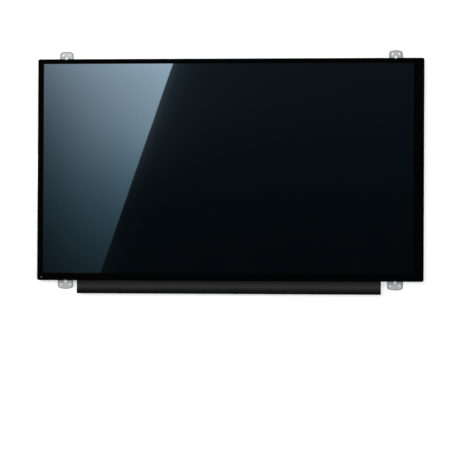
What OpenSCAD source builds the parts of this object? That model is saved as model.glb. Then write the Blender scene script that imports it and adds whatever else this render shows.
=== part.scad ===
// Slim laptop screen panel of the 15.6 inch class, with its backlight and driver board.
// It lies on its back: +Z is the display side, +Y the top edge, +X the right side seen from the front.
// The origin is the centre of the overall outline, at the rearmost plane.

/* [Outline] */
// Width of the body over its wrapped tape
body_w = 359.5; // [340:0.5:380]
// Height of the body without ears and board
body_h = 205.35; // [195:0.05:220]
// How far the driver board strip stands below the body
board_out = 12; // [11:0.1:16]
// Radius of the body's corners
corner_r = 1.7; // [0.8:0.1:2.5]

/* [Picture area] */
// Black border left of the picture
border_left = 5.6; // [5.2:0.1:10]
// Black border right of the picture
border_right = 9.7; // [8.5:0.1:14]
// Black border above the picture
border_top = 4.7; // [4.2:0.1:10]
// Black border below the picture
border_bottom = 7.05; // [6.8:0.05:12]
// How far the black tape stays off the picture
tape_margin = 0.2; // [0.1:0.1:2]

/* [Layers] */
// Sheet steel of the rear frame
steel_t = 0.3; // [0.2:0.05:0.5]
// Adhesive tape and film
tape_t = 0.15; // [0.05:0.01:0.19]
// White reflector sheet
reflector_t = 0.2; // [0.2:0.05:0.4]
// Acrylic light guide
guide_t = 0.75; // [0.6:0.05:2]
// Diffuser sheets
diffuser_t = 0.1; // [0.05:0.01:0.3]
// Prism sheets
prism_t = 0.15; // [0.05:0.01:0.3]
// Air between the sheet stack and the frame's lip
sheet_gap = 0.05; // [0.02:0.01:0.3]
// Lip of the support frame that the glass rests on
lip_t = 0.4; // [0.3:0.05:1]
// Double-sided tape under the glass
cell_tape_t = 0.05; // [0.02:0.01:0.2]
// Each of the two glass plates
glass_t = 0.5; // [0.3:0.05:0.7]
// Polariser on the back of the glass
rear_polariser_t = 0.15; // [0.05:0.01:0.3]
// Glossy polariser on the front of the glass
front_polariser_t = 0.2; // [0.1:0.01:0.4]

/* [Rear frame] */
// Width of the sunk band that the tape sticks to, at the sides and the top
band_w = 3.9; // [3.7:0.1:6]
// Width of the sunk band along the bottom
bottom_band_w = 10; // [8:0.5:14]
// Steel left of the rear window, seen from the front
window_left = 11.8; // [8:0.1:30]
// Steel right of the rear window
window_right = 14.7; // [8:0.1:30]
// Steel above the rear window
window_top = 12.8; // [8:0.1:30]
// Steel below the rear window
window_bottom = 24.5; // [16:0.1:40]
// Corner radius of the rear window
window_r = 4.5; // [1:0.1:10]
// Height of the side and top flanges above the sunk band
flange_h = 2.3; // [1.8:0.05:2.6]
// Height of the bottom flange above the sunk band
bottom_flange_h = 1; // [0.6:0.05:1.4]
// Length of the latch windows in the flanges
latch_w = 6; // [3:0.5:12]
// Height of the latch windows
latch_h = 1; // [0.6:0.1:1.2]
// Latches on each side
side_latches = 3; // [1:1:5]
// Latches along the top
top_latches = 5; // [1:1:7]

/* [Ears] */
// Centre of the top ears from the body's side
top_ear_in = 26.3; // [16:0.1:60]
// Width of the top ears
top_ear_w = 12.6; // [11:0.1:16]
// How far the top ears stand above the body
top_ear_out = 7.2; // [5.5:0.1:9]
// Corner radius of the top ears
top_ear_r = 3.2; // [1:0.1:4]
// Centre of the bottom ears from the body's side
bottom_ear_in = 26.3; // [18:0.1:29.8]
// Width of the bottom ears
bottom_ear_w = 14.3; // [12:0.1:19]
// How far the bottom ears stand below the body
bottom_ear_out = 7.9; // [6:0.1:10]
// Corner radius of the bottom ears
bottom_ear_r = 3.2; // [1:0.1:4]
// Screw hole in each ear
hole_d = 2; // [1.6:0.1:2.4]
// Centre of the screw hole from the body's edge
hole_out = 1; // [0.9:0.05:2.5]
// Radius cut out of the body's edge for the screw head
notch_r = 1.8; // [1.3:0.05:2.1]
// Stiffening beads, each side of the ear's middle
top_bead_in = 2.9; // [2.4:0.1:4]
// Stiffening beads of the bottom ears, each side of the middle
bottom_bead_in = 4.2; // [2.4:0.1:5.6]
// Length of the beads
bead_len = 2.6; // [2.1:0.1:4]
// Radius of the round that a bead is pressed to
bead_r = 1; // [0.5:0.05:1]
// Height of the beads above the ear
bead_h = 0.4; // [0.2:0.05:0.45]

/* [Tape round the body] */
// Width of the black tape folded on the back
flap_w = 3.6; // [2:0.1:3.7]
// Corner left free of tape on the back
flap_corner = 3.8; // [3:0.1:8]
// Inspection hole in the tape's lower left corner
dot_hole_d = 1.3; // [0.6:0.1:1.6]
// Silver dot on the glass under the inspection hole
dot_d = 1; // [0.4:0.1:1.2]
// Middle of the dot from the body's left side
dot_in = 3.9; // [3:0.1:4.6]
// Middle of the dot from the body's bottom edge
dot_up = 2.9; // [2.4:0.1:3.4]
// Width of the white tab, along the side
tab_w = 22.5; // [10:0.5:40]
// Middle of the white tab from the body's bottom edge
tab_up = 104; // [80:0.5:120]
// How far the white tab laps on the reflector
tab_lap = 3.5; // [2:0.1:6]
// How far the white tab comes up the side
tab_side_h = 2.6; // [1:0.1:3]
// Width of the paper label
label_w = 31; // [20:0.5:60]
// Height of the paper label
label_h = 8; // [5:0.5:20]
// Thickness of the label
label_t = 0.08; // [0.03:0.01:0.15]
// Left end of the label from the body's left side, seen from the front
label_in = 67; // [30:1:200]
// Lower edge of the label from the body's bottom edge
label_up = 38; // [30:1:120]

/* [Support frame and sheets] */
// How far the lip's opening stands outside the picture
lip_margin = 0.5; // [0.2:0.1:1]
// Step from the lip's opening out to the pocket for the sheets
pocket_step = 0.9; // [0.5:0.1:1.5]
// Bottom rail of the frame, in front of the driver board
rail_w = 2.9; // [2:0.1:3.5]
// Wall of the frame beside the glass
wall_t = 0.55; // [0.4:0.05:1]
// Play round the sheets
sheet_play = 0.2; // [0.1:0.05:0.5]
// Play round the glass
cell_play = 0.2; // [0.1:0.05:0.5]
// Width of the sheets' locating tabs
sheet_tab_w = 5; // [3:0.5:10]
// How far the locating tabs stand out
sheet_tab_out = 1; // [0.4:0.1:1.2]

/* [Light bar] */
// Light-emitting diodes along the bottom
led_count = 54; // [20:1:60]
// Length of a diode
led_w = 3; // [2:0.1:4]
// Depth of a diode
led_depth = 1; // [0.6:0.1:1.2]
// Height of a diode
led_h = 0.6; // [0.4:0.05:0.6]
// Double-sided tape that holds the strip down
strip_tape_t = 0.05; // [0.03:0.01:0.1]
// Flexible strip that carries the diodes
flex_t = 0.15; // [0.08:0.01:0.2]
// Middle of the strip's tail from the body's left side
tail_in = 80; // [60:0.5:100]
// Width of the tail
tail_w = 8; // [5:0.5:12]
// Depth of the tail's socket
light_depth = 4.6; // [3.5:0.1:5]
// Height of the tail's socket
light_h = 1; // [0.9:0.05:1.3]
// Wall of the tail's socket at each side
light_wall = 1.5; // [0.8:0.1:3]

/* [Glass] */
// Array glass from the body's bottom edge
array_in = 1.3; // [1.15:0.05:2]
// Array glass standing out below the filter glass
bottom_ledge = 3.4; // [3:0.1:4]
// Array glass standing out right of the filter glass
right_ledge = 3.5; // [3:0.1:5]
// Front polariser from the edge of the filter glass
polariser_in = 0.6; // [0.2:0.1:1]
// Rear polariser from the lip's opening
rear_polariser_in = 0.2; // [0.1:0.05:0.4]
// Gate driver chips on the right ledge
gate_count = 3; // [3:1:3]
// Length of a gate driver chip
gate_len = 16; // [8:0.5:30]
// Width of a gate driver chip
gate_w = 1.3; // [0.8:0.1:2]
// Height of a gate driver chip
gate_h = 0.3; // [0.2:0.05:0.5]

/* [Source films] */
// Width of a source film where it is bonded to the glass
film_glass_w = 34; // [20:0.5:50]
// Width of a source film where it is bonded to the board
film_board_w = 30; // [16:0.5:50]
// Thickness of a source film
film_t = 0.05; // [0.03:0.01:0.1]
// Bond on the glass
glass_bond = 1.5; // [1:0.1:2.5]
// Bond on the board
board_bond = 1.8; // [1:0.1:3]
// Length of a source driver chip
source_len = 18; // [8:0.5:19]
// Width of a source driver chip
source_w = 1.4; // [0.8:0.1:1.6]
// Height of a source driver chip
source_h = 0.35; // [0.2:0.05:0.45]

/* [Driver board] */
// Left end of the board from the body's left side
board_left = 37.75; // [37.5:0.05:50]
// Right end of the board from the body's right side
board_right = 39.35; // [37.5:0.05:50]
// Thickness of the board
board_t = 0.8; // [0.6:0.05:1]
// Gap between the body and the board
board_gap = 0.7; // [0.3:0.05:1]
// How far the front film stands past the board's ends
film_over = 0.3; // [0:0.1:1]
// Rear tape from the body's bottom edge upwards
tape_up = 4; // [2:0.1:7]
// Board left bare at its left end
tape_left_in = 2.5; // [1:0.1:6]
// Tooling notches in the board's outer edge, from each end
tooling_in = 12; // [6:0.5:30]
// Radius of the tooling notches
tooling_r = 0.9; // [0.5:0.1:1.5]
// Window between the two rear tapes, for the signal socket
socket_window = 29.7; // [28:0.1:40]

/* [Signal socket] */
// Middle of the socket from the body's left side
socket_in = 131.2; // [120:0.1:170]
// Width over the shell
socket_w = 25.5; // [22.5:0.1:27]
// Depth of the socket
socket_depth = 5; // [4:0.1:6]
// Height of the socket above the board
socket_h = 1.05; // [0.9:0.05:1.3]
// Contacts in the socket
contact_count = 40; // [10:1:40]
// Spacing of the contacts
contact_pitch = 0.5; // [0.45:0.01:0.51]
// Width of a contact
contact_w = 0.22; // [0.15:0.01:0.3]
// Thickness of a contact
contact_t = 0.12; // [0.08:0.01:0.15]
// Sheet of the shell
shell_t = 0.15; // [0.1:0.01:0.2]
// Back bar of the shell
shell_bar = 1.9; // [1.2:0.1:2.4]
// End arms of the shell
shell_arm = 0.9; // [0.5:0.1:1.2]

/* [Board parts] */
// Side of the timing controller
controller_side = 8; // [5:0.5:9]
// Height of the chips
chip_h = 0.85; // [0.5:0.05:1.2]
// Side of the small chips
small_side = 4; // [3:0.5:5]
// Side of the inductors
inductor_side = 5; // [3:0.5:6]
// Height of the inductors
inductor_h = 1.2; // [0.8:0.1:1.6]
// Space between the larger parts, and from them to the rows
chip_gap = 3; // [2:0.1:4]
// Length of the rows between the power chip and the timing controller
short_row = 15; // [8:0.5:30]
// Rows of small parts, above and below the board's middle
row_out = 3; // [2:0.1:3.5]
// Length of a capacitor
capacitor_len = 1.6; // [1:0.1:2]
// Width of a capacitor
capacitor_w = 0.8; // [0.5:0.05:1.2]
// Height of a capacitor
capacitor_h = 0.8; // [0.3:0.05:1.2]
// Spacing of the capacitors
capacitor_pitch = 5; // [3:0.5:12]
// Length of a resistor
resistor_len = 1; // [0.6:0.1:1.6]
// Width of a resistor
resistor_w = 0.5; // [0.3:0.05:0.8]
// Height of a resistor
resistor_h = 0.35; // [0.2:0.05:0.5]
// Spacing of the resistors
resistor_pitch = 4; // [2:0.5:12]

/* [Hidden] */
$fn = 48;
eps = 0.01;
fold_r = 0.5;
sheet_r = 0.5;
glass_r = 0.3;
ear_play = 0.5;
tail_play = 0.3;
tab_root = 1;
film_step = 0.5;
socket_setback = 0.7;
socket_wall = 1;
comb_play = 0.05;
light_setback = 2;
light_back = 1;
light_floor = 0.35;

total_h = top_ear_out + body_h + board_out;
half_w = body_w / 2;
steel_r = corner_r - tape_t;
mould_r = steel_r - steel_t;
latch_play = 0.1;
body_top = total_h / 2 - top_ear_out;
body_bottom = board_out - total_h / 2;

// Heights of the layers, from the back to the front
plate_top = steel_t;
band_top = tape_t + steel_t;
guide_z = steel_t + reflector_t;
lower_diffuser_z = guide_z + guide_t;
lower_prism_z = lower_diffuser_z + diffuser_t;
upper_prism_z = lower_prism_z + prism_t;
upper_diffuser_z = upper_prism_z + prism_t;
lip_z = upper_diffuser_z + diffuser_t + sheet_gap;
lip_top = lip_z + lip_t;
array_z = lip_top + cell_tape_t;
filter_z = array_z + glass_t;
polariser_z = filter_z + glass_t;
bezel_z = polariser_z + front_polariser_t;
panel_t = bezel_z + tape_t;
strip_z = band_top + strip_tape_t;
led_z = strip_z + flex_t;

// A rectangle is its low corner and its high corner
function inset(r, d) = [[r[0].x + d, r[0].y + d], [r[1].x - d, r[1].y - d]];

body = [[-half_w, body_bottom], [half_w, body_top]];
steel = inset(body, tape_t);
mould = inset(steel, steel_t);
picture = [
    [-half_w + border_left, body_bottom + border_bottom],
    [half_w - border_right, body_top - border_top]
];
lip_opening = inset(picture, -lip_margin);
guide_bottom = lip_opening[0].y - sheet_play;
pocket = [
    [lip_opening[0].x - pocket_step, mould[0].y + rail_w],
    lip_opening[1] + [pocket_step, pocket_step]
];
guide = [
    [pocket[0].x + sheet_play, guide_bottom],
    pocket[1] - [sheet_play, sheet_play]
];
plate = [
    [-half_w + band_w, body_bottom + bottom_band_w],
    [half_w - band_w, body_top - band_w]
];
joggle = inset(plate, steel_t);
reflector_box = [
    [max(guide[0].x, joggle[0].x + sheet_play), joggle[0].y + sheet_play],
    [min(guide[1].x, joggle[1].x - sheet_play), min(guide[1].y, joggle[1].y - sheet_play)]
];
window = [
    [-half_w + window_left, body_bottom + window_bottom],
    [half_w - window_right, body_top - window_top]
];
cell = inset(mould, wall_t + cell_play);
array = [[cell[0].x, body_bottom + array_in], cell[1]];
filter = [
    [array[0].x, array[0].y + bottom_ledge],
    [array[1].x - right_ledge, array[1].y]
];
bezel_window = inset(picture, -tape_margin);

// The driver board strip
board_z = filter_z - board_t;
board = [
    [-half_w + board_left, body_bottom - board_out + 2 * tape_t],
    [half_w - board_right, body_bottom - board_gap]
];
board_mid = (board[0].y + board[1].y) / 2;
strip_bottom = body_bottom - board_out;
socket_x = -half_w + socket_in;
tail_x = -half_w + tail_in;

// The ears: distance from the middle, width, reach, corner radius, bead offset, and 1 at the top or -1
top_ear = [half_w - top_ear_in, top_ear_w, top_ear_out, top_ear_r, top_bead_in, 1];
bottom_ear = [half_w - bottom_ear_in, bottom_ear_w, bottom_ear_out, bottom_ear_r, bottom_bead_in, -1];
ears = [top_ear, bottom_ear];
function ear_edge(ear) = ear[5] > 0 ? body_top : body_bottom;

tab_y = body_bottom + tab_up;
source_count = 4;
source_pitch = (board[1].x - board[0].x) / source_count;
function source_x(i) = board[0].x + (i - 0.5) * source_pitch;
function gate_y(i) = picture[0].y + (i - 0.5) * (picture[1].y - picture[0].y) / gate_count;

// A flat piece between two corners, with rounded corners if r is given
module slab(rect, z, t, r = 0) {
    translate([0, 0, z]) linear_extrude(t) outline(rect, r);
}

module outline(rect, r = 0) {
    size = rect[1] - rect[0];
    if (r > 0) {
        translate(rect[0] + [r, 0]) square(size - [2 * r, 0]);
        translate(rect[0] + [0, r]) square(size - [0, 2 * r]);
        for (x = [rect[0].x + r, rect[1].x - r], y = [rect[0].y + r, rect[1].y - r])
            translate([x, y]) circle(r);
    } else {
        translate(rect[0]) square(size);
    }
}

// A flat frame between two rectangles
module ring(outer, inner, z, t, outer_r = 0, inner_r = 0) {
    translate([0, 0, z]) linear_extrude(t) difference() {
        outline(outer, outer_r);
        outline(inner, inner_r);
    }
}

// A strip with the section (y, z) given, running along X
module along_x(x, w, section) {
    translate([x - w / 2, 0, 0]) rotate([90, 0, 90]) linear_extrude(w) polygon(section);
}

// Children at every ear, both sides
module at_ears() {
    for (ear = ears, x = [-ear[0], ear[0]])
        translate([x, ear_edge(ear), 0]) mirror([0, ear[5] > 0 ? 0 : 1, 0]) {
            $ear = ear;
            children();
        }
}

// Flat outline of an ear, with its root at the body's edge
module ear_outline() {
    w = $ear[1];
    reach = $ear[2];
    r = $ear[3];
    crown_r = w * 1.4;
    intersection() {
        union() {
            translate([-w / 2, -band_w]) square([w, band_w + reach - r]);
            translate([r - w / 2, 0]) square([w - 2 * r, reach]);
            for (x = [r - w / 2, w / 2 - r]) translate([x, reach - r]) circle(r);
        }
        translate([0, reach + 0.05 - crown_r]) circle(crown_r, $fn = 96);
    }
}

// Half-round bead pressed up out of the ear
module bead(grow) {
    r = bead_r + grow;
    translate([0, 0, band_top + bead_h - bead_r]) {
        for (y = [-1, 1]) translate([0, y * (bead_len / 2 - bead_r), 0]) sphere(r);
        rotate([90, 0, 0]) cylinder(h = bead_len - 2 * bead_r, r = r, center = true);
    }
}

module at_beads() {
    for (x = [-1, 1]) translate([x * $ear[4], $ear[2] / 2, 0]) children();
}

module ear_plates() {
    difference() {
        union() {
            at_ears() translate([0, 0, tape_t]) linear_extrude(steel_t) ear_outline();
            intersection() {
                at_ears() at_beads() bead(0);
                slab(inset(body, -top_ear_out - bottom_ear_out), tape_t, panel_t);
            }
        }
        intersection() {
            at_ears() at_beads() bead(-steel_t);
            slab(inset(body, -top_ear_out - bottom_ear_out), -eps, panel_t);
        }
    }
}

// Latches on the flanges: position along the edge as a share of its length
module at_latches() {
    for (i = [1:side_latches], side = [-1, 1])
        translate([side * steel[1].x, body_bottom + body_h * i / (side_latches + 1), 0])
            rotate([0, 0, side > 0 ? -90 : 90]) children();
    for (i = [1:top_latches])
        translate([steel[1].x * (2 * i / (top_latches + 1) - 1), steel[1].y, 0]) children();
}

module latch(grow = 0, out = 0) {
    translate([-latch_w / 2 - grow, -steel_t - eps, band_top + flange_h / 2 - latch_h / 2 - grow])
        cube([latch_w + 2 * grow, steel_t + eps + out, latch_h + 2 * grow]);
}

// Clearance for the screw heads in the body's edge
module screw_notches() {
    at_ears() translate([0, hole_out, band_top]) cylinder(h = panel_t, r = notch_r);
}

// Space above the ears' roots, where the flange is left out
module ear_gaps() {
    at_ears() translate([-$ear[1] / 2 - ear_play, -steel_t - tape_t - eps, band_top])
        cube([$ear[1] + 2 * ear_play, steel_t + tape_t + 2 * eps, panel_t]);
}

module rear_frame() color([0.62, 0.63, 0.64]) difference() {
    union() {
        ring(plate, window, 0, steel_t, fold_r, window_r);
        ring(steel, joggle, tape_t, steel_t, steel_r, fold_r);
        difference() {
            ring(steel, mould, tape_t, steel_t + flange_h, steel_r, mould_r);
            translate([-half_w, body_bottom - eps, band_top + bottom_flange_h])
                cube([body_w, steel_t + tape_t + 2 * eps, panel_t]);
            ear_gaps();
            at_latches() latch(latch_play, eps);
            translate([tail_x - tail_w / 2 - ear_play, body_bottom - eps, band_top])
                cube([tail_w + 2 * ear_play, steel_t + tape_t + 2 * eps, panel_t]);
        }
        ear_plates();
    }
    at_ears() translate([0, hole_out, -eps]) cylinder(h = panel_t, r = hole_d / 2);
    // thinned seat for the white tab
    translate([-half_w, tab_y - tab_w / 2 - sheet_play, -eps])
        cube([window_left + 1, tab_w + 2 * sheet_play, tape_t + eps]);
}

module reflector() color([0.93, 0.94, 0.95]) slab(reflector_box, plate_top, reflector_t, sheet_r);

// The sheets have locating tabs that sit in notches of the support frame
module sheet(z, t) {
    slab(guide, z, t, sheet_r);
    sheet_tabs(z, t);
}

module sheet_tabs(z, t, play = 0) {
    for (side = [0, 1], y = [0.3, 0.7])
        translate([side ? guide[1].x - tab_root : guide[0].x - sheet_tab_out - play,
                   guide[0].y + (guide[1].y - guide[0].y) * y - sheet_tab_w / 2 - play, z])
            cube([tab_root + sheet_tab_out + play, sheet_tab_w + 2 * play, t]);
}

module light_guide() color([0.85, 0.95, 0.98, 0.6]) sheet(guide_z, guide_t);
module lower_diffuser() color([0.95, 0.95, 0.95]) sheet(lower_diffuser_z, diffuser_t);
module lower_prism_sheet() color([0.9, 0.92, 0.95]) sheet(lower_prism_z, prism_t);
module upper_prism_sheet() color([0.88, 0.9, 0.95]) sheet(upper_prism_z, prism_t);
module upper_diffuser() color([0.96, 0.96, 0.96]) sheet(upper_diffuser_z, diffuser_t);

strip_y0 = pocket[0].y + sheet_play;
led_y1 = guide_bottom - sheet_play / 2;
led_pitch = (guide[1].x - guide[0].x) / led_count;
strip = [[guide[0].x + sheet_tab_out, strip_y0], [guide[1].x - sheet_tab_out, led_y1]];
light_y1 = board[1].y - light_setback;
light_y0 = light_y1 - light_depth;
light_wall_y = light_y0 + light_back;
light_slot_z = board_z - light_h + light_floor;

module strip_tape() color([0.85, 0.86, 0.8]) slab(strip, band_top, strip_tape_t);

module light_strip() color([0.9, 0.85, 0.55]) {
    slab(strip, strip_z, flex_t);
    along_x(tail_x, tail_w, [
        [led_y1, strip_z], [led_y1, led_z], [board[1].y, led_z],
        [light_y1, light_slot_z + flex_t], [light_wall_y, light_slot_z + flex_t],
        [light_wall_y, light_slot_z], [light_y1, light_slot_z], [board[1].y, strip_z]
    ]);
}

module diodes() color([0.95, 0.9, 0.6]) {
    for (i = [1:led_count])
        translate([guide[0].x + (i - 0.5) * led_pitch - led_w / 2, led_y1 - led_depth, led_z])
            cube([led_w, led_depth, led_h]);
}

module support_frame() color([0.9, 0.9, 0.88]) {
    difference() {
        union() {
            ring(mould, pocket, band_top, lip_z - band_top, mould_r, sheet_r);
            ring(mould, lip_opening, lip_z, lip_t, mould_r, glass_r);
            difference() {
                ring(mould, inset(mould, wall_t), lip_top, bezel_z - lip_top, mould_r, glass_r);
                translate([-half_w, body_bottom - eps, lip_top])
                    cube([body_w, array[0].y + 1 - body_bottom, panel_t]);
            }
            at_latches() latch();
        }
        screw_notches();
        sheet_tabs(guide_z, lip_z - guide_z, sheet_play);
        translate([tail_x - tail_w / 2 - tail_play, body_bottom, 0])
            cube([tail_w + 2 * tail_play, mould[0].y + rail_w + 1 - body_bottom, led_z + sheet_gap]);
    }
}

module cell_tape() color([0.05, 0.05, 0.05]) difference() {
    ring([array[0], cell[1]], inset(lip_opening, -glass_r), lip_top, cell_tape_t);
    screw_notches();
}

module rear_polariser() color([0.12, 0.12, 0.14])
    slab(inset(lip_opening, rear_polariser_in), array_z - rear_polariser_t, rear_polariser_t);

module array_glass() color([0.2, 0.24, 0.24]) slab(array, array_z, glass_t, glass_r);
module filter_glass() color([0.1, 0.12, 0.13]) slab(filter, filter_z, glass_t, glass_r);
module front_polariser() color([0.03, 0.05, 0.07])
    slab(inset(filter, polariser_in), polariser_z, front_polariser_t, sheet_r);

// Dot of silver paste that earths the front film, on the ledge of the array glass
dot_x = dot_in - half_w;
dot_y = body_bottom + dot_up;
module silver_dot() color([0.85, 0.85, 0.85])
    translate([dot_x, dot_y, filter_z])
        cylinder(h = (bezel_z - filter_z) * 0.8, r1 = dot_d / 2, r2 = dot_d / 3);

module gate_driver(i) color([0.1, 0.1, 0.12])
    translate([(filter[1].x + array[1].x - gate_w) / 2, gate_y(i) - gate_len / 2, filter_z])
        cube([gate_w, gate_len, gate_h]);

module source_film(i) color([0.75, 0.5, 0.2])
    translate([source_x(i), 0, filter_z]) linear_extrude(film_t) polygon([
        [-film_glass_w / 2, array[0].y + glass_bond], [film_glass_w / 2, array[0].y + glass_bond],
        [film_glass_w / 2, array[0].y - film_step], [film_board_w / 2, board[1].y],
        [film_board_w / 2, board[1].y - board_bond], [-film_board_w / 2, board[1].y - board_bond],
        [-film_board_w / 2, board[1].y], [-film_glass_w / 2, array[0].y - film_step]
    ]);

module source_driver(i) color([0.1, 0.1, 0.12])
    translate([source_x(i) - source_len / 2, (array[0].y + board[1].y - source_w) / 2, filter_z - source_h])
        cube([source_len, source_w, source_h]);

module driver_board() color([0.12, 0.42, 0.24]) difference() {
    slab(board, board_z, board_t, tooling_r);
    for (x = [board[0].x + tooling_in, board[1].x - tooling_in])
        translate([x, board[0].y, board_z - eps]) cylinder(h = board_t + 2 * eps, r = tooling_r);
}

// Signal socket: a tray open to the rear and to the cable side
socket_y1 = board[1].y - socket_setback;
socket_y0 = socket_y1 - socket_depth;
socket_z = board_z - socket_h;
socket_floor = 0.65;
comb_z = board_z - socket_floor;
contact_z = comb_z - comb_play;
heel = 0.5;
arm_x = socket_w / 2 - shell_arm;

module signal_housing_body() {
    difference() {
        translate([socket_x - arm_x, socket_y0, socket_z + shell_t])
            cube([2 * arm_x, socket_depth, socket_h - shell_t]);
        translate([socket_x - arm_x + socket_wall, socket_y0 - eps, 0])
            cube([2 * (arm_x - socket_wall), socket_depth - shell_bar + eps, comb_z]);
    }
}

module contact(w) {
    along_x(0, w, [
        [socket_y0 + heel, contact_z], [socket_y1 + contact_t, contact_z],
        [socket_y1 + contact_t, board_z - contact_t], [socket_y1 + heel, board_z - contact_t],
        [socket_y1 + heel, board_z], [socket_y1, board_z],
        [socket_y1, contact_z + contact_t], [socket_y0 + heel, contact_z + contact_t]
    ]);
}

module at_contacts()
    for (i = [1:contact_count])
        translate([socket_x + (i - (contact_count + 1) / 2) * contact_pitch, 0, 0]) children();

module signal_socket() color([0.42, 0.32, 0.18]) difference() {
    signal_housing_body();
    at_contacts() contact(contact_w);
}

module signal_contacts() color([0.85, 0.68, 0.3]) at_contacts() contact(contact_w);

module signal_shell() color([0.85, 0.86, 0.87]) {
    nose = 2 * shell_t;
    window_w = socket_w / 16;
    window_pitch = 2.5 * window_w;
    difference() {
        translate([socket_x - socket_w / 2, socket_y0 - nose, socket_z])
            cube([socket_w, socket_depth + nose, shell_t]);
        translate([socket_x - arm_x, socket_y0 - nose - eps, socket_z - eps])
            cube([2 * arm_x, socket_depth - shell_bar + nose + eps, shell_t + 2 * eps]);
        for (i = [-2:2])
            translate([socket_x + i * window_pitch - window_w / 2, socket_y1 - shell_bar * 0.7,
                       socket_z - eps])
                cube([window_w, shell_bar * 0.4, shell_t + 2 * eps]);
    }
    for (x = [-socket_w / 2, socket_w / 2 - shell_t])
        translate([socket_x + x, socket_y0 - nose, socket_z]) cube([shell_t, socket_depth + nose, socket_h]);
}

// Socket for the light strip's tail
light_w = tail_w + 2 * light_wall;
light_pins = 4;
module at_light_contacts()
    for (i = [-light_pins:light_pins])
        translate([tail_x + i * tail_w / (2 * light_pins + 2), 0, 0]) children();
module light_contact(w) along_x(0, w, [
    [light_y0 - heel, board_z], [light_y0 - heel, board_z - contact_t],
    [light_y0 - contact_t, board_z - contact_t], [light_y0 - contact_t, light_slot_z + flex_t],
    [light_y1 - heel, light_slot_z + flex_t],
    [light_y1 - heel, light_slot_z + flex_t + contact_t], [light_y0, light_slot_z + flex_t + contact_t],
    [light_y0, board_z]
]);

module light_socket() color([0.85, 0.82, 0.72]) difference() {
    translate([tail_x - light_w / 2, light_y0, board_z - light_h]) cube([light_w, light_depth, light_h]);
    translate([tail_x - tail_w / 2, light_wall_y, light_slot_z]) cube([tail_w, light_depth, flex_t]);
    at_light_contacts() light_contact(contact_w);
}
module light_contacts() color([0.85, 0.68, 0.3]) at_light_contacts() light_contact(contact_w);

// A chip on the back of the board, with a chamfered corner and a pin mark
module chip(x, side_x, side_y) {
    chamfer = small_side / 8;
    translate([x, board_mid, board_z - chip_h]) difference() {
        linear_extrude(chip_h) polygon([
            [-side_x / 2, -side_y / 2], [side_x / 2, -side_y / 2], [side_x / 2, side_y / 2],
            [chamfer - side_x / 2, side_y / 2], [-side_x / 2, side_y / 2 - chamfer]
        ]);
        translate([2 * chamfer - side_x / 2, side_y / 2 - 2 * chamfer, -eps])
            cylinder(h = chip_h / 12, r = chamfer / 2);
    }
}

// The larger parts follow each other from the two sockets, a chip gap apart
memory_w = small_side + 1;
light_driver_x = tail_x + light_w / 2 + chip_gap + small_side / 2;
light_inductor_x = light_driver_x + (small_side + inductor_side) / 2 + chip_gap;
power_inductor_x = socket_x + (socket_w + inductor_side) / 2 + chip_gap;
power_chip_x = power_inductor_x + (inductor_side + small_side) / 2 + chip_gap;
controller_x = power_chip_x + (small_side + controller_side) / 2 + short_row;
memory_x = controller_x + (controller_side + memory_w) / 2 + chip_gap;

module timing_controller() color([0.08, 0.08, 0.09]) chip(controller_x, controller_side, controller_side);
module power_chip() color([0.08, 0.08, 0.09]) chip(power_chip_x, small_side, small_side);
module light_driver() color([0.08, 0.08, 0.09]) chip(light_driver_x, small_side, small_side);

// The memory chip stands on eight pins
module memory_chip() color([0.08, 0.08, 0.09]) {
    pin = [0.4, 0.8, 0.15];
    chip(memory_x, memory_w, small_side);
    for (i = [-1.5:1.5], side = [-1, 1])
        translate([memory_x + i * memory_w / 4, board_mid + side * (small_side + pin.y) / 2, board_z - pin.z])
            translate([-pin.x / 2, -pin.y / 2, 0]) cube(pin);
}

module inductor(x) translate([x, board_mid, board_z - inductor_h]) difference() {
    translate([-inductor_side / 2, -inductor_side / 2, 0]) cube([inductor_side, inductor_side, inductor_h]);
    translate([0, 0, -eps]) linear_extrude(inductor_h / 6) difference() {
        circle(inductor_side * 0.42);
        circle(inductor_side * 0.25);
    }
}
module power_inductor() color([0.2, 0.2, 0.21]) inductor(power_inductor_x);
module light_inductor() color([0.2, 0.2, 0.21]) inductor(light_inductor_x);

// The rows of small parts fill the board between the larger parts
row_spans = [
    [board[0].x, tail_x - light_w / 2],
    [light_inductor_x + inductor_side / 2, socket_x - socket_w / 2],
    [power_chip_x + small_side / 2, controller_x - controller_side / 2],
    [memory_x + memory_w / 2, board[1].x]
];

module rows(size, pitch, side) {
    for (span = row_spans) {
        length = span[1] - span[0] - 2 * chip_gap - size.x;
        for (i = [0:1:floor(length / pitch)])
            translate([span[0] + chip_gap + i * pitch, board_mid + side * row_out - size.y / 2,
                       board_z - size.z])
                cube(size);
    }
}
module capacitors() color([0.62, 0.5, 0.36])
    rows([capacitor_len, capacitor_w, capacitor_h], capacitor_pitch, 1);
module resistors() color([0.1, 0.1, 0.1]) {
    rows([resistor_len, resistor_w, resistor_h], resistor_pitch, 0);
    rows([resistor_len, resistor_w, resistor_h], resistor_pitch, -1);
}

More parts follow.
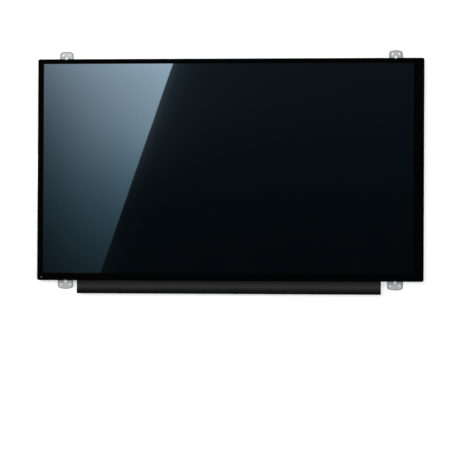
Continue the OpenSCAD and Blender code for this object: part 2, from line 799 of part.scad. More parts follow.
module bezel_tape() color([0.03, 0.03, 0.03]) difference() {
    union() {
        ring(body, bezel_window, bezel_z, tape_t, corner_r, glass_r);
        ring(body, steel, 0, bezel_z, corner_r, steel_r);
        ring(body, inset(body, flap_w), 0, tape_t, corner_r, fold_r);
    }
    // corners left free on the back
    for (x = [-1, 1], y = [body_bottom, body_top])
        translate([x * half_w - flap_corner, y - flap_corner, -eps])
            cube([2 * flap_corner, 2 * flap_corner, tape_t + eps]);
    // the ears come out through the tape
    at_ears() translate([-$ear[1] / 2 - ear_play, -flap_w - eps, -eps])
        cube([$ear[1] + 2 * ear_play, flap_w + 2 * eps, band_top + eps]);
    // no fold along the driver board
    translate([-bottom_ear[0], body_bottom - eps, -eps])
        cube([2 * bottom_ear[0], flap_w + 2 * eps, tape_t + 2 * eps]);
    translate([film_x0 - sheet_play, body_bottom - eps, -eps])
        cube([film_w + 2 * sheet_play, tape_t + 2 * eps, bezel_z + eps]);
    // the white tab takes the tape's place
    translate([-half_w - eps, tab_y - tab_w / 2, -eps]) cube([flap_w + 2 * eps, tab_w, tape_t + eps]);
    translate([-half_w - eps, tab_y - tab_w / 2, -eps]) cube([tape_t + eps, tab_w, tab_side_h + eps]);
    screw_notches();
    translate([dot_x, dot_y, bezel_z - eps]) cylinder(h = tape_t + 2 * eps, r = dot_hole_d / 2);
}

// Front film over the driver board: flat under the bezel tape, then gently bowed, then a lip
film_x0 = board[0].x - film_over;
film_w = board[1].x + film_over - film_x0;
module board_film() color([0.05, 0.05, 0.05]) {
    drop = bezel_z - filter_z - tape_t;
    bow_r = (board_out * board_out + drop * drop) / (2 * drop);
    x1 = film_x0 + film_w;
    slab([[film_x0, body_bottom], [x1, filter[0].y - 2 * sheet_play]], bezel_z - tape_t, tape_t);
    intersection() {
        translate([film_x0, body_bottom, bezel_z - bow_r]) rotate([0, 90, 0]) difference() {
            cylinder(h = film_w, r = bow_r, $fn = 360);
            translate([0, 0, -1]) cylinder(h = film_w + 2, r = bow_r - tape_t, $fn = 360);
        }
        slab([[film_x0, strip_bottom], [x1, body_bottom]], board_z, panel_t);
    }
    slab([[film_x0, strip_bottom], [x1, strip_bottom + tape_t]], board_z, board_t + tape_t - 2 * eps);
}

// Rear tape over the board's parts, folded round the board's outer edge
module rear_tape(x0, x1) {
    along_x((x0 + x1) / 2, x1 - x0, [
        [body_bottom + tape_up, 0], [board[0].y - tape_t, 0], [board[0].y - tape_t, filter_z],
        [board[0].y, filter_z], [board[0].y, tape_t], [body_bottom + tape_up, tape_t]
    ]);
}
module board_tape_left() color([0.03, 0.03, 0.03])
    rear_tape(board[0].x + tape_left_in, socket_x - socket_window / 2);
module board_tape_right() color([0.03, 0.03, 0.03])
    rear_tape(socket_x + socket_window / 2, board[1].x);

module side_tab() color([0.95, 0.95, 0.95]) {
    translate([-half_w, tab_y - tab_w / 2, 0]) {
        cube([window_left + tape_t, tab_w, tape_t]);
        cube([tape_t, tab_w, tab_side_h]);
    }
    translate([window[0].x, tab_y - tab_w / 2, plate_top - tape_t]) cube([tab_lap, tab_w, tape_t]);
}

module label() color([0.97, 0.97, 0.97])
    slab([[-half_w + label_in, body_bottom + label_up],
          [-half_w + label_in + label_w, body_bottom + label_up + label_h]],
         plate_top - label_t, label_t, sheet_r);

rear_frame();
reflector();
light_guide();
strip_tape();
light_strip();
diodes();
lower_diffuser();
lower_prism_sheet();
upper_prism_sheet();
upper_diffuser();
support_frame();
cell_tape();
rear_polariser();
array_glass();
filter_glass();
front_polariser();
silver_dot();
gate_driver(1);  // gate_driver_1
gate_driver(2);  // gate_driver_2
gate_driver(3);  // gate_driver_3
source_film(1);  // source_film_1
source_film(2);  // source_film_2
source_film(3);  // source_film_3
source_film(4);  // source_film_4
source_driver(1);  // source_driver_1
source_driver(2);  // source_driver_2
source_driver(3);  // source_driver_3
source_driver(4);  // source_driver_4
driver_board();
signal_socket();
signal_contacts();
signal_shell();
light_socket();
light_contacts();
timing_controller();
memory_chip();
power_chip();
light_driver();
power_inductor();
light_inductor();
capacitors();
resistors();
bezel_tape();
board_film();
board_tape_left();
board_tape_right();
side_tab();
label();
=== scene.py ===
"""A slim laptop screen panel, lying on its back, seen from above. Metres, in the CAD model's own frame."""
import math

import bpy
from mathutils import Euler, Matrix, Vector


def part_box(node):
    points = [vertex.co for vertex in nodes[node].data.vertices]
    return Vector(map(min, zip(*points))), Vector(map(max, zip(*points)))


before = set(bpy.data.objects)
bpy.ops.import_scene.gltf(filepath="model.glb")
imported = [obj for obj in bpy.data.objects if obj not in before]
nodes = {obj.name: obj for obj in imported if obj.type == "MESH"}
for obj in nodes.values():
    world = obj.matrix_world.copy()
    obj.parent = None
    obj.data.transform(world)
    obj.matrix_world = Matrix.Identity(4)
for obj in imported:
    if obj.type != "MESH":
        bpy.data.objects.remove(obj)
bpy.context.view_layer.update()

# Floor and studio. The floor is a plain pale sheet with a faint grain, lit by three soft boxes.
# The world is white near the horizon and dark overhead, as in a studio whose ceiling is out of reach
# of the lamps, so that the glossy screen stays black.
SCENE = bpy.context.scene
SCENE.view_settings.view_transform = "Standard"


class Socket:
    """An output in a node tree. Sums, products and comparisons of sockets make Math nodes."""

    def __init__(self, sheet, out):
        self.sheet, self.out = sheet, out

    def math(self, operation, *values):
        return self.sheet.node("ShaderNodeMath", {"operation": operation}, values)

    def __add__(self, other):
        return self.math("ADD", self, other)

    __radd__ = __add__

    def __sub__(self, other):
        return self.math("SUBTRACT", self, other)

    def __rsub__(self, other):
        return self.math("SUBTRACT", other, self)

    def __mul__(self, other):
        return self.math("MULTIPLY", self, other)

    __rmul__ = __mul__

    def __truediv__(self, other):
        return self.math("DIVIDE", self, other)

    def __rtruediv__(self, other):
        return self.math("DIVIDE", other, self)

    def __pow__(self, other):
        return self.math("POWER", self, other)

    def __mod__(self, other):
        return self.math("FLOORED_MODULO", self, other)

    def __gt__(self, other):
        return self.math("GREATER_THAN", self, other)

    def __abs__(self):
        return self.math("ABSOLUTE", self)

    def most(self, other):
        """The larger of two values."""
        return self.math("MAXIMUM", self, other)

    def ramp(self, low, high):
        """0 below low, 1 above high, smooth between; falls instead where low is above high."""
        return self.sheet.node("ShaderNodeMapRange", {"interpolation_type": "SMOOTHSTEP"},
                               {"Value": self, "From Min": low, "From Max": high})

    def near(self, centre, half, soft):
        """1 within half of centre, 0 outside, with a soft edge."""
        return abs(self - centre).ramp(half + soft, half - soft)


class NodeSheet:
    """The emptied node tree of a material or a world, to draw nodes on."""

    def __init__(self, owner):
        owner.use_nodes = True
        self.tree = owner.node_tree
        self.tree.nodes.clear()

    def node(self, kind, settings, values, out=0):
        """Adds a node: its type, its settings, then its inputs in order or by name."""
        node = self.tree.nodes.new(kind)
        for key, value in settings.items():
            setattr(node, key, value)
        for key, value in values.items() if isinstance(values, dict) else enumerate(values):
            if isinstance(value, Socket):
                self.tree.links.new(value.out, node.inputs[key])
            else:
                node.inputs[key].default_value = value
        return Socket(self, node.outputs[out] if node.outputs else None)

    def split(self, vector):
        """The three parts of a vector."""
        whole = self.node("ShaderNodeSeparateXYZ", {}, [vector])
        return [Socket(self, part) for part in whole.out.node.outputs]


def mix(factor, low, high):
    """A colour between low and high. A colour is three numbers or a socket."""
    low, high = (c if isinstance(c, Socket) else (*c, 1) for c in (low, high))
    return factor.sheet.node("ShaderNodeMix", {"data_type": "RGBA"}, {0: factor, 6: low, 7: high}, out=2)


WHITE = (1, 1, 1)
BLACK = (0, 0, 0)

SCENE.world = bpy.data.worlds.new("studio")
sky = NodeSheet(SCENE.world)
sky_x, sky_y, sky_z = sky.split(sky.node("ShaderNodeTexCoord", {}, {}, out="Generated"))
# overhead it is a little lighter towards the back, and beside the large card's slanted edge
EDGE_LEAN, EDGE_PLACE, EDGE_SOFT = 0.3532, 0.1794, 0.0018
across, along = sky_x / sky_z.most(0.1), sky_y / sky_z.most(0.1)
beside = abs(across - along * EDGE_LEAN + EDGE_PLACE).most(EDGE_SOFT)
spill = EDGE_SOFT / 3 / beside * (along.ramp(0.02, 0.06) * 0.87 + 0.13)
overhead = mix(along.ramp(0.009, 0.09), (0.006, 0.011, 0.015), (0.028, 0.06, 0.086))
overhead = mix(spill, overhead, (0.65, 1, 1.2))
# lower down, the slanted edge of a far soft box, for the screen to mirror when it is seen from the side
beyond = sky_x + sky_y + sky_z * 0.5 - 0.17
walls = mix(beyond.ramp(-0.0015, 0.0015), (0.075, 0.08, 0.085), (0.36, 0.39, 0.42))
walls = mix(abs(beyond).ramp(0.32, 0), (0.19, 0.2, 0.21), walls)
sky_colour = mix(sky_z.ramp(0.45, 0.9), walls, overhead)
sky_colour = mix(sky_z.ramp(0.018, 0.055), WHITE, sky_colour)
sky.node("ShaderNodeOutputWorld", {}, [sky.node("ShaderNodeBackground", {}, [sky_colour, 1])])

FLOOR_SIDE, FLOOR_DROP = 12, 0.0002
bpy.ops.mesh.primitive_plane_add(size=FLOOR_SIDE, location=(0, 0, -FLOOR_DROP))
floor = bpy.context.object
floor.name = "floor"
floor_material = bpy.data.materials.new("floor_paint")
floor.data.materials.append(floor_material)
ground = NodeSheet(floor_material)
grain = ground.node("ShaderNodeTexNoise", {}, {"Scale": 3, "Detail": 4})
matt = ground.node("ShaderNodeBsdfDiffuse", {}, [mix(grain, (0.88, 0.88, 0.88), (0.9, 0.9, 0.9))])
# eyes and mirrors see it lifted to white, fully so where the lamps no longer reach
eye, gloss, through = (ground.node("ShaderNodeLightPath", {}, {}, out=ray)
                       for ray in ("Is Camera Ray", "Is Glossy Ray", "Is Transmission Ray"))
spot = ground.node("ShaderNodeTexCoord", {}, {}, out="Object")
away = ground.node("ShaderNodeVectorMath", {"operation": "LENGTH"}, [spot], out="Value")
lift = ground.node("ShaderNodeEmission", {}, [mix(away.ramp(0.5, 1.6), (0.35, 0.35, 0.35), WHITE), 1])
lifted = ground.node("ShaderNodeAddShader", {}, [matt, lift])
ground.node("ShaderNodeOutputMaterial", {}, [
    ground.node("ShaderNodeMixShader", {}, [eye.most(gloss).most(through), matt, lifted])])


def softbox(name, place, power):
    """A square lamp, a metre wide, that points at the panel's middle."""
    data = bpy.data.lights.new(name, "AREA")
    data.shape, data.size, data.energy = "SQUARE", 1.0, power
    lamp = bpy.data.objects.new(name, data)
    SCENE.collection.objects.link(lamp)
    lamp.location = x, y, z = place
    lamp.rotation_euler = Euler((math.atan2(math.hypot(x, y), z), 0, math.atan2(-x, y) + math.pi))


softbox("softbox_left", (-1.3, 0.35, 1.1), 20)
softbox("softbox_right", (1.35, -0.15, 1.2), 17)
softbox("softbox_top", (0.1, 1.45, 1.0), 13)

# Two sheets of light hang over the panel and show only in reflections: a large one over the screen's
# left side, whose slanted edge is the slanted edge of the glare, and a low one that makes the soft
# highlight on the bowed board film.
CARD_HEIGHT = 1.5


def card(name, corners, shade, strength):
    """A flat sheet of light. shade makes its colour from x and y in metres."""
    mesh = bpy.data.meshes.new(name)
    mesh.from_pydata([(x, y, CARD_HEIGHT) for x, y in corners], [], [range(len(corners))])
    flat = bpy.data.objects.new(name, mesh)
    SCENE.collection.objects.link(flat)
    flat.visible_camera = flat.visible_diffuse = flat.visible_shadow = flat.visible_transmission = False
    mesh.materials.append(bpy.data.materials.new(name))
    glow = NodeSheet(mesh.materials[0])
    x, y, _ = glow.split(glow.node("ShaderNodeTexCoord", {}, {}, out="Object"))
    glow.node("ShaderNodeOutputMaterial", {}, [
        glow.node("ShaderNodeEmission", {}, [shade(x, y), strength])])


# the large card's straight sides, and where its slanted edge meets the near one and the far one
LEFT, NEAR, FAR = -0.5128, -0.092, 0.215
SLANT_NEAR, SLANT_FAR = -0.3858, -0.2795
# the place along y where the glare would fade out, and the width that it grows over
GLARE_FOOT, GLARE_WIDTH = -0.449, 0.07


def glare(x, y):
    """Grows away from the left edge, less steeply at the top, and from the bottom to the top."""
    steepness = 0.96 - y.ramp(0.09, 0.21) * 0.34
    level = ((x - LEFT) / GLARE_WIDTH) ** steepness * (y - GLARE_FOOT) ** 5.1 * 3.43
    return mix(level, BLACK, mix(y.ramp(-0.05, 0.18), (0.487, 1, 1.341), (0.71, 1, 1.24)))


# the low card's sides, and the middle line and half width of the highlight on it
LOW_LEFT, LOW_RIGHT, LOW_NEAR, LOW_FAR = -0.6, 0.2, -0.38, -0.097
LOW_MIDDLE, LOW_HALF = -0.226, 0.115


def highlight(x, y):
    """Brightest along its middle line."""
    return mix(abs(y - LOW_MIDDLE).ramp(LOW_HALF, 0), BLACK, WHITE)


card("softbox_over", [(SLANT_FAR, FAR), (SLANT_NEAR, NEAR), (LEFT, NEAR), (LEFT, FAR)], glare, 6)
card("softbox_low", [(LOW_RIGHT, LOW_FAR), (LOW_RIGHT, LOW_NEAR), (LOW_LEFT, LOW_NEAR), (LOW_LEFT, LOW_FAR)],
     highlight, 0.82)

# The camera looks down on the panel through a long lens, almost straight on. It stands a little to the
# panel's right, so that the right side comes out a touch larger, as in the photograph.
camera_data = bpy.data.cameras.new("camera")
camera_data.lens = 260
camera = bpy.data.objects.new("camera", camera_data)
SCENE.collection.objects.link(camera)
camera.location = (0.41258, -0.10644, 3.02516)
camera.rotation_euler = [math.radians(a) for a in (1.05707, 7.76942, 0.29972)]
SCENE.camera = camera


# Rear frame: galvanised steel sheet, 0.3 mm thick, pressed with a sunk band, flanges and four screw ears.
# It has fine spangle, faint rolling lines and small scuffs. The ears' cut rims are painted darker, a painted
# shade, and the tops of their pressed beads are painted bright, a painted highlight.
class Paint(NodeSheet):
    """A material built from nodes, with places in the CAD frame in millimetres."""

    def __init__(self, name):
        self.material = bpy.data.materials.new(name)
        super().__init__(self.material)
        self.place = self.node("ShaderNodeVectorMath", {"operation": "SCALE"}, {
            "Vector": self.node("ShaderNodeTexCoord", {}, {}, out="Object"), "Scale": 1000})
        self.x, self.y, self.z = self.split(self.place)

    def stretched(self, factors):
        return self.node("ShaderNodeVectorMath", {"operation": "MULTIPLY"}, [self.place, factors])

    def noise(self, per_mm, stretch=(1, 1, 1), detail=3, rough=0.5):
        """Soft noise around 0.5, with per_mm features in a millimetre."""
        return self.node("ShaderNodeTexNoise", {}, {
            "Vector": self.stretched(stretch), "Scale": per_mm, "Detail": detail, "Roughness": rough})

    def cells(self, per_mm, stretch=(1, 1, 1), out="Distance", jitter=1):
        """How far it is to the nearest of scattered points, or a colour for each point's cell."""
        return self.node("ShaderNodeTexVoronoi", {}, {
            "Vector": self.stretched(stretch), "Scale": per_mm, "Randomness": jitter}, out=out)

    def specks(self, per_mm, size, stretch=(1, 1, 1)):
        """1 on small spots, 0 elsewhere."""
        return self.cells(per_mm, stretch).ramp(size, size * 0.5)

    def facing(self):
        """How much the surface faces +x, +y and +z."""
        return self.split(self.node("ShaderNodeNewGeometry", {}, {}, out="Normal"))

    def surface(self, colour, roughness, metallic=0, height=None, depth_mm=0.02, **more):
        """Ends the material with a principled surface, and a bump where a height is given."""
        values = {"Base Color": colour, "Roughness": roughness, "Metallic": metallic}
        values.update({key.replace("_", " "): value for key, value in more.items()})
        if height is not None:
            values["Normal"] = self.node("ShaderNodeBump", {}, {
                "Strength": 1, "Distance": depth_mm / 1000, "Height": height})
        self.node("ShaderNodeOutputMaterial", {}, [self.node("ShaderNodeBsdfPrincipled", {}, values)])

    def on(self, *names):
        """Puts the material on CAD nodes."""
        for name in names:
            for material_slot in nodes[name].material_slots:
                material_slot.material = self.material


def box_mm(name):
    """A node's lowest and highest corners in millimetres."""
    return [[1000 * value for value in corner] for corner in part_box(name)]


# how far the ears' middles are from the panel's middle, their corner radius and half their widths, and
# the heights that their beads rise between
EAR_PLACE, EAR_CORNER = 153.45, 3.2
TOP_EAR_HALF, BOTTOM_EAR_HALF = 6.3, 7.15
BEAD_FOOT, BEAD_TOP = 0.5, 0.8
steel = Paint("galvanised_steel")
spangle = steel.cells(0.35, out="Color")
spangle_tone = steel.node("ShaderNodeSeparateColor", {}, [spangle])
rolling = steel.noise(6, (0.02, 1, 1), detail=4)
scuffs = steel.noise(2, (1, 0.08, 1), detail=5).ramp(0.6, 0.72)
# out is how far a point stands above or below the body, and inside is how far it is from its ear's rim
body, ears = box_mm("bezel_tape"), box_mm("rear_frame")
rim_shade = bead_highlight = 0
for end, side, half in ((1, 1, TOP_EAR_HALF), (0, -1, BOTTOM_EAR_HALF)):
    out = (steel.y - body[end][1]) * side
    reach = (ears[end][1] - body[end][1]) * side
    corner_x = (abs(abs(steel.x) - EAR_PLACE) - (half - EAR_CORNER)).most(0)
    corner_y = (out - (reach - EAR_CORNER)).most(0)
    inside = EAR_CORNER - (corner_x ** 2 + corner_y ** 2) ** 0.5
    # painted shade: the steel is darkened within a millimetre and a half of each ear's rim
    rim_shade = inside.ramp(1.5, 0.3) * (out > 0) + rim_shade
    # painted highlight: the tops of the ears' beads are lightened
    bead_highlight = steel.z.ramp(BEAD_FOOT, BEAD_TOP) * (out > 0) + bead_highlight
steel_colour = mix(spangle_tone * 0.5 + rolling * 0.5, (0.47, 0.47, 0.468), (0.6, 0.6, 0.595))
# painted shade along the ears' rims
steel_colour = mix(rim_shade * 0.8, steel_colour, (0.2, 0.2, 0.2))
# painted highlight on the tops of the beads
steel_colour = mix(bead_highlight, steel_colour, (0.85, 0.85, 0.85))
steel.surface(steel_colour, spangle_tone * 0.1 + scuffs * 0.1 - bead_highlight * 0.12 + 0.42, metallic=0.4,
              height=rolling * 0.5 + spangle_tone * 0.5, depth_mm=0.004)
steel.on("rear_frame")

# Reflector: a white pearl film that sends the light back up, cut a little smaller than the light guide. It
# lies in the rear frame and shows through the frame's window, slightly wavy and dimpled.
pearl = Paint("reflector_film")
waves = pearl.noise(0.03, detail=2)
dots = pearl.specks(0.5, 0.06)
pearl.surface(mix(waves, (0.82, 0.83, 0.84), (0.88, 0.89, 0.9)), waves * 0.1 + dots * 0.2 + 0.28,
              height=waves + dots * 0.02, depth_mm=0.3)
pearl.on("reflector")

# Light guide: a clear acrylic plate, moulded and polished, that carries the light from its lower edge over
# the whole picture. Rows of small white dots are printed on its back.
guide = Paint("acrylic")
guide_dots = guide.cells(1.2, jitter=0).ramp(0.4, 0.3)
guide.surface(mix(guide_dots, (0.78, 0.9, 0.92), (0.9, 0.92, 0.92)), guide_dots * 0.4 + 0.06, IOR=1.49)
guide.on("light_guide")

# Light bar: a flexible strip with copper tracks under a cream cover layer, stuck down with white tape. Its
# diodes are small cream mouldings whose front faces are filled with yellow phosphor.
white_tape = Paint("white_tape")
weave = white_tape.noise(1.5, detail=4)
grime = white_tape.noise(0.12, detail=4).ramp(0.5, 0.75)
white_tape.surface(mix(grime, (0.84, 0.84, 0.83), (0.74, 0.74, 0.72)), weave * 0.12 + 0.42,
                   height=weave, depth_mm=0.01)
white_tape.on("strip_tape", "side_tab")

FLEX_PITCH = 0.8
flex = Paint("flex_laminate")
tracks = (flex.y % FLEX_PITCH).near(FLEX_PITCH / 2, 0.18, 0.05)
flex.surface(mix(tracks, (0.76, 0.73, 0.6), (0.68, 0.62, 0.44)), flex.noise(2) * 0.2 + 0.35,
             height=tracks, depth_mm=0.02)
flex.on("light_strip")

diode = Paint("diode_case")
crumbs = diode.noise(8)
phosphor = mix(crumbs, (0.8, 0.66, 0.12), (0.85, 0.78, 0.25))
diode.surface(mix(diode.facing()[1] > 0.5, (0.84, 0.83, 0.78), phosphor), crumbs * 0.2 + 0.3)
diode.on("diodes")

# Optical sheets: two frosted diffusers and, between them, two prism films with fine ridges, one film's
# ridges running up and the other's across. They are die-cut and held only by small tabs at their edge.
frost = Paint("diffuser_film")
frosting = frost.noise(12, detail=2)
frost.surface(mix(frosting, (0.84, 0.84, 0.84), (0.9, 0.9, 0.9)), frosting * 0.15 + 0.5,
              height=frosting, depth_mm=0.004)
frost.on("lower_diffuser", "upper_diffuser")

RIDGE_PITCH = 0.05
for sheet, axis in (("lower_prism_sheet", "x"), ("upper_prism_sheet", "y")):
    prism = Paint("prism_film_" + axis)
    ridges = abs(getattr(prism, axis) % RIDGE_PITCH - RIDGE_PITCH / 2) * (2 / RIDGE_PITCH)
    prism.surface(mix(ridges, (0.74, 0.76, 0.82), (0.82, 0.84, 0.88)), prism.noise(1) * 0.1 + 0.15,
                  height=ridges, depth_mm=0.02)
    prism.on(sheet)

# Support frame: a thin white moulding that snaps into the rear frame, clamps the sheets and carries the
# glass on its lip. It shows at the corners of the back and in the screw notches.
moulding = Paint("white_moulding")
texture = moulding.noise(5, detail=5)
flow = moulding.noise(0.3, (0.2, 1, 1))
moulding.surface(mix(flow, (0.74, 0.74, 0.72), (0.82, 0.82, 0.8)), texture * 0.15 + 0.42,
                 height=texture, depth_mm=0.01)
moulding.on("support_frame")

# Glass: two plates with the liquid crystal between them, held on the lip by black tape, with a polarising
# film on each face. The front film is glossy and nearly black, with a faint smear and a little dust, and
# under it the picture area is a touch bluer than its border: partly its own colour, partly a painted tint
# of the screen's blue reflection.
black_bond = Paint("cell_tape")
fuzz = black_bond.noise(3)
black_bond.surface(mix(fuzz, (0.012, 0.012, 0.012), (0.025, 0.025, 0.026)), fuzz * 0.2 + 0.5)
black_bond.on("cell_tape")

glass = Paint("cell_glass")
greening = glass.noise(0.2)
glass.surface(mix(greening, (0.035, 0.05, 0.048), (0.05, 0.07, 0.066)), greening * 0.05 + 0.06, IOR=1.52)
glass.on("array_glass", "filter_glass")

back_film = Paint("rear_polariser")
back_haze = back_film.noise(0.5)
back_film.surface(mix(back_haze, (0.03, 0.03, 0.036), (0.045, 0.045, 0.052)), back_haze * 0.1 + 0.15)
back_film.on("rear_polariser")

PICTURE_IN = 0.3
screen = Paint("polariser")
low, high = box_mm("rear_polariser")
in_picture = 1
for place, start, stop in zip((screen.x, screen.y), low, high):
    in_picture = place.near((start + stop) / 2, (stop - start) / 2 - PICTURE_IN, 0.05) * in_picture
haze = screen.noise(0.012, detail=3, rough=0.6)
smear = screen.noise(0.06, (1, 0.35, 1), detail=6, rough=0.65).ramp(0.56, 0.78)
dust = screen.specks(0.35, 0.035)
# the picture area's blue is partly painted: a painted reflection tint in the base colour
picture_blue_and_reflection_tint = mix(haze, (0.0008, 0.0017, 0.0025), (0.0013, 0.0023, 0.0032))
screen_colour = mix(in_picture, (0.0012, 0.0012, 0.0013), picture_blue_and_reflection_tint)
screen_colour = mix(dust * 0.5, screen_colour, (0.02, 0.02, 0.02))
screen.surface(screen_colour, smear * 0.03 + dust * 0.3 + 0.01,
               height=screen.noise(0.02, detail=1), depth_mm=0.005, IOR=1.5, Specular_IOR_Level=1)
screen.on("front_polariser")

# Dot of silver paste: it is dabbed on the glass's corner before the tape goes on and earths the front film.
# It shows through a pinhole in the bezel tape, as small bright flakes in a dull binder.
paste = Paint("silver_paste")
flakes = paste.noise(9, detail=4)
paste.surface(mix(flakes, (0.62, 0.62, 0.6), (0.82, 0.82, 0.8)), flakes * 0.25 + 0.3, metallic=0.5,
              height=flakes, depth_mm=0.03)
paste.on("silver_dot")

# Driver chips: slivers of polished silicon, bonded face down on the glass's right edge and on four amber
# films. The films are polyimide with fine copper lines, and join the glass's lower edge to the board.
silicon = Paint("silicon")
polish = silicon.noise(2)
silicon.surface(mix(polish, (0.07, 0.07, 0.085), (0.11, 0.11, 0.13)), polish * 0.1 + 0.12)
silicon.on(*[f"gate_driver_{i}" for i in (1, 2, 3)], *[f"source_driver_{i}" for i in (1, 2, 3, 4)])

LINE_PITCH = 0.3
amber = Paint("polyimide")
copper = (amber.x % LINE_PITCH).near(LINE_PITCH / 2, 0.07, 0.03)
amber.surface(mix(copper, (0.5, 0.24, 0.03), (0.42, 0.16, 0.05)), amber.noise(1) * 0.1 + 0.22,
              height=copper, depth_mm=0.01)
amber.on(*[f"source_film_{i}" for i in (1, 2, 3, 4)])

# Driver board: glass-fibre laminate under green solder mask. Copper tracks and poured areas stand up
# through the mask, the vias have gold rings, and the sawn edges show the bare yellow laminate.
FIBRE_PITCH, TRACK_PITCH = 0.5, 0.7
board = Paint("board_laminate")
fibre = (abs(board.x % FIBRE_PITCH - FIBRE_PITCH / 2) + abs(board.y % FIBRE_PITCH - FIBRE_PITCH / 2)) * 2
run = board.noise(0.09, (1, 0.2, 1), detail=0)
tracks = ((board.y + run * 9) % TRACK_PITCH).near(TRACK_PITCH / 2, 0.16, 0.03)
pour = board.noise(0.12, (0.5, 1.4, 1), detail=0).ramp(0.55, 0.56)
vias = board.cells(0.6, jitter=0.9)
via_ring = vias.ramp(0.27, 0.25) * vias.ramp(0.14, 0.16)
via_hole = vias.ramp(0.16, 0.14)
copper = tracks.most(pour)
mask = mix(copper, (0.012, 0.085, 0.035), (0.025, 0.2, 0.075))
mask = mix(fibre * 0.15, mask, (0.04, 0.2, 0.08))
mask = mix(via_ring, mask, (0.72, 0.5, 0.2))
mask = mix(via_hole, mask, (0.01, 0.02, 0.015))
mask = mix(abs(board.facing()[2]).ramp(0.6, 0.4), mask, (0.5, 0.42, 0.2))
board.surface(mask, fibre * 0.05 + 0.28, metallic=via_ring * 0.9, height=copper + via_ring, depth_mm=0.035)
board.on("driver_board")

# Signal socket: a brown moulding with forty slots, a gold-plated contact in each, half a millimetre apart,
# and a folded shell of brushed, tinned steel over it. All three are soldered to the board.
brown = Paint("socket_moulding")
brown_flow = brown.noise(1.5, (0.3, 1, 1))
brown.surface(mix(brown_flow, (0.17, 0.1, 0.035), (0.25, 0.15, 0.06)), brown.noise(6) * 0.15 + 0.38,
              height=brown_flow, depth_mm=0.01)
brown.on("signal_socket")

gold = Paint("gold_contact")
plating = gold.noise(5)
gold.surface(mix(plating, (0.72, 0.48, 0.16), (0.85, 0.62, 0.25)), plating * 0.15 + 0.2, metallic=1)
gold.on("signal_contacts", "light_contacts")

tin = Paint("tinned_shell")
brushing = tin.noise(8, (0.1, 1, 1))
tin.surface(mix(brushing, (0.66, 0.67, 0.68), (0.8, 0.81, 0.82)), brushing * 0.2 + 0.22, metallic=0.95,
            height=brushing, depth_mm=0.004)
tin.on("signal_shell")

# Parts on the back of the board, soldered in one row: the light bar's cream socket, four chips in black
# resin with rows of pale marks, and two fired ferrite inductors.
cream = Paint("light_socket_moulding")
cream_flow = cream.noise(1)
cream.surface(mix(cream_flow, (0.66, 0.6, 0.46), (0.76, 0.71, 0.58)), cream_flow * 0.15 + 0.4)
cream.on("light_socket")

MARK_PITCH = 1.1
chip = Paint("chip_moulding")
resin = chip.noise(6, detail=5)
resin_colour = mix(resin, (0.018, 0.018, 0.02), (0.035, 0.035, 0.038))
marks = (chip.y % MARK_PITCH).near(0.5, 0.2, 0.04) * chip.noise(1.6, (1, 0, 0), detail=0).ramp(0.48, 0.5)
chip.surface(mix(marks * 0.6, resin_colour, (0.3, 0.3, 0.3)), resin * 0.2 + 0.45,
             height=resin, depth_mm=0.008)
chip.on("timing_controller", "memory_chip", "power_chip", "light_driver")

ferrite = Paint("ferrite")
fired = ferrite.noise(4, detail=5)
ferrite.surface(mix(fired, (0.04, 0.04, 0.043), (0.08, 0.08, 0.085)), fired * 0.2 + 0.5,
                height=fired, depth_mm=0.02)
ferrite.on("power_inductor", "light_inductor")

# Capacitors and resistors: rows of small fired blocks in the gaps between the larger parts, tan and near
# black, with tinned ends that are soldered to the board.
for name, dull, bright, node in (
        ("capacitor_ceramic", (0.32, 0.2, 0.1), (0.45, 0.32, 0.18), "capacitors"),
        ("resistor_ceramic", (0.02, 0.02, 0.022), (0.05, 0.05, 0.055), "resistors")):
    small = Paint(name)
    ceramic = small.noise(5)
    end = abs(small.facing()[0]).ramp(0.4, 0.6)
    small.surface(mix(end, mix(ceramic, dull, bright), (0.7, 0.7, 0.7)), ceramic * 0.15 + 0.3,
                  metallic=end * 0.9)
    small.on(node)

# Bezel tape: thin black polyester tape over the glass's edge, folded round the sides onto the back.
# Seen straight on it is nearly black; along its surface it has a grey sheen, with lint and soft waves.
tape = Paint("black_tape")
grain = tape.noise(9, detail=4)
lint = tape.specks(0.8, 0.05, (1, 0.6, 1))
waves = tape.noise(0.35, (0.5, 1, 1), detail=5)
tape_colour = mix(grain, (0.0004, 0.0004, 0.0004), (0.0011, 0.0011, 0.0012))
slant = tape.node("ShaderNodeLayerWeight", {}, [0.5], out="Facing")
tape.surface(mix(lint * 0.4, tape_colour, (0.03, 0.03, 0.03)), grain * 0.15 + waves * 0.1 + 0.38,
             height=grain * 0.03 + waves, depth_mm=0.05, Specular_IOR_Level=0.01,
             Coat_Weight=slant.ramp(0.3, 0.95) * 0.8, Coat_Roughness=0.35)
tape.on("bezel_tape")

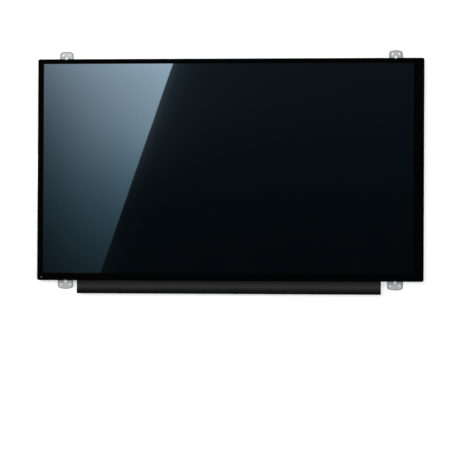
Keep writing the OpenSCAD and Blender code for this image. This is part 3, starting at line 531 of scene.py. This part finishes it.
# Rear tapes over the board's parts: the same polyester, pressed down by hand. It shows creases where it
# bridges the parts below, and it is rubbed grey on the folds along the board's outer edge.
cover = Paint("rear_tape")
weave = cover.noise(7, detail=4)
bridges = cover.noise(0.16, (1, 0.5, 1), detail=4)
creases = abs(cover.noise(0.22, (1, 0.35, 1), detail=3) - 0.5).ramp(0.03, 0)
fold = box_mm("board_tape_left")[0][1]
rubbed = cover.y.ramp(fold + 1.2, fold + 0.1) * cover.noise(0.5, detail=4).ramp(0.4, 0.7)
cover_colour = mix(weave, (0.005, 0.005, 0.0055), (0.011, 0.011, 0.012))
cover.surface(mix(rubbed * 0.7, cover_colour, (0.09, 0.09, 0.09)), weave * 0.1 + creases * 0.12 + 0.32,
              height=bridges + creases * 0.12 + weave * 0.01, depth_mm=0.35)
cover.on("board_tape_left", "board_tape_right")

# Board film: satin black film, stuck to the glass's edge and to the board's, that covers the amber films
# and the board in front. Between the two it bows up a little, with faint pulls along its length.
satin = Paint("black_film")
pull = satin.noise(0.05, (0.15, 1, 1), detail=3)
fine = satin.noise(9, detail=3)
satin.surface(mix(fine, (0.0004, 0.0004, 0.0004), (0.001, 0.001, 0.001)), fine * 0.03 + 0.08,
              height=pull + fine * 0.01, depth_mm=0.04)
satin.on("board_film")

# Label: coated white paper, stuck on the reflector inside the frame's window. Its print is plain bars over
# three broken lines, as a maker's data label has, with nothing to read.
LINE_COUNT = 9
paper = Paint("label_paper")
low, high = box_mm("label")
across = (paper.x - low[0]) / (high[0] - low[0])
up = (paper.y - low[1]) / (high[1] - low[1])
bars = paper.noise(3.2, (1, 0, 0), detail=0).ramp(0.49, 0.51)
bars = bars * up.near(0.62, 0.22, 0.01) * across.near(0.5, 0.42, 0.005)
lines = (up * LINE_COUNT % 1).near(0.5, 0.22, 0.05) * up.ramp(0.34, 0.32) * across.near(0.42, 0.34, 0.005)
ink = bars.most(lines * paper.noise(1.2, (1, 0.2, 0), detail=1).ramp(0.42, 0.44))
fibres = paper.noise(4, detail=4)
paper_colour = mix(fibres, (0.84, 0.84, 0.84), (0.9, 0.9, 0.9))
paper.surface(mix(ink, paper_colour, (0.12, 0.12, 0.12)), fibres * 0.1 + 0.45)
paper.on("label")
